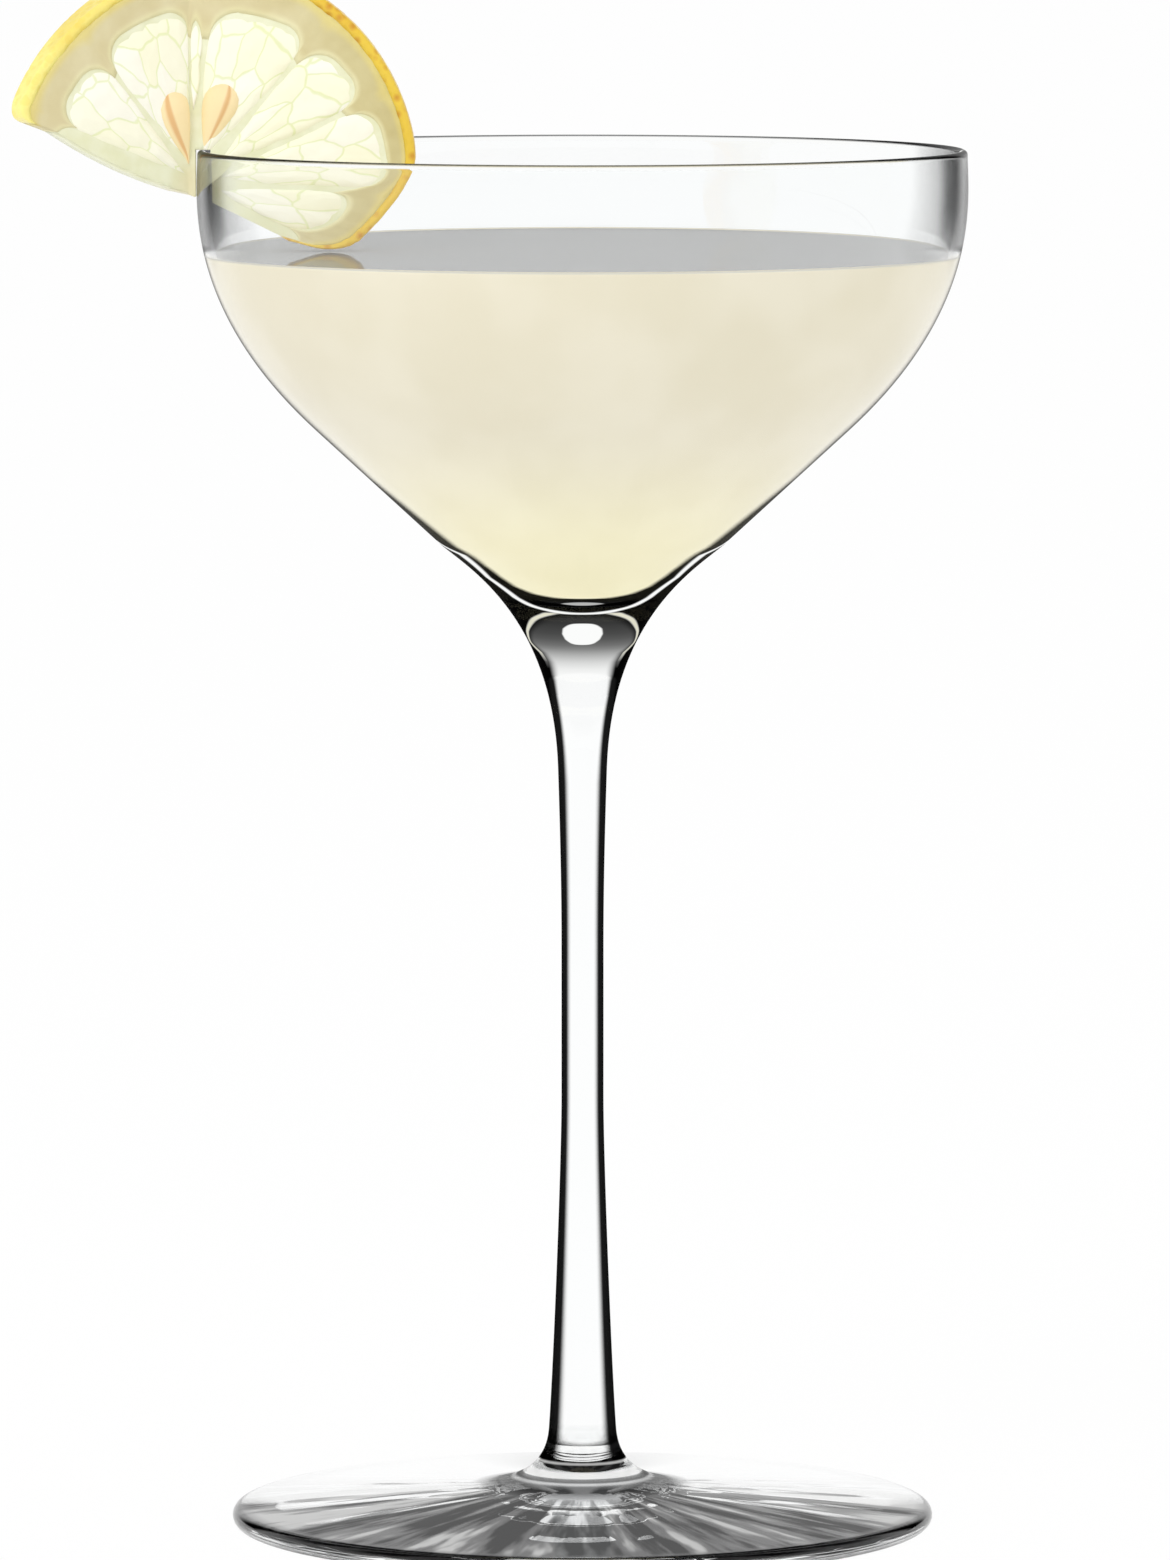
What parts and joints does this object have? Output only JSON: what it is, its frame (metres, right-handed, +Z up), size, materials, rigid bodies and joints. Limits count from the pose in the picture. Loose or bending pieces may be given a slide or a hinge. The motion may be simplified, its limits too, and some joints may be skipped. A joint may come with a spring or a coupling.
{
  "type": "nick and nora glass",
  "caption": "Small stemmed cocktail glass with a pale drink and half a lemon wheel slotted on its rim.",
  "frame": {"origin": "the glass's axis, on the plane that the foot stands on", "axes": "+Z up along the stem; the lemon hangs on the rim at -X with its cut face toward -Y"},
  "size_m": [0.1141, 0.0924, 0.1886],
  "materials": {
    "crystal": "gloss",
    "drink": "gloss",
    "zest": "satin",
    "pith": "matte",
    "membrane": "satin",
    "pulp": "gloss",
    "seed": "satin"
  },
  "bodies": {
    "glass": {"bowl": "crystal", "stem": "crystal", "foot": "crystal", "drink": "drink"},
    "lemon": {"lemon_zest": "zest", "lemon_pith": "pith", "lemon_membrane": "membrane", "segment_1": "pulp", "segment_2": "pulp", "segment_3": "pulp", "segment_4": "pulp", "segment_5": "pulp", "segment_6": "pulp", "segment_7": "pulp", "seed_left": "seed", "seed_right": "seed"}
  },
  "joints": [
    {"name": "lemon_lift", "type": "slide", "parent": "glass", "child": "lemon", "axis": [0, 0, 1], "range_m": [0, 0.03]}
  ]
}
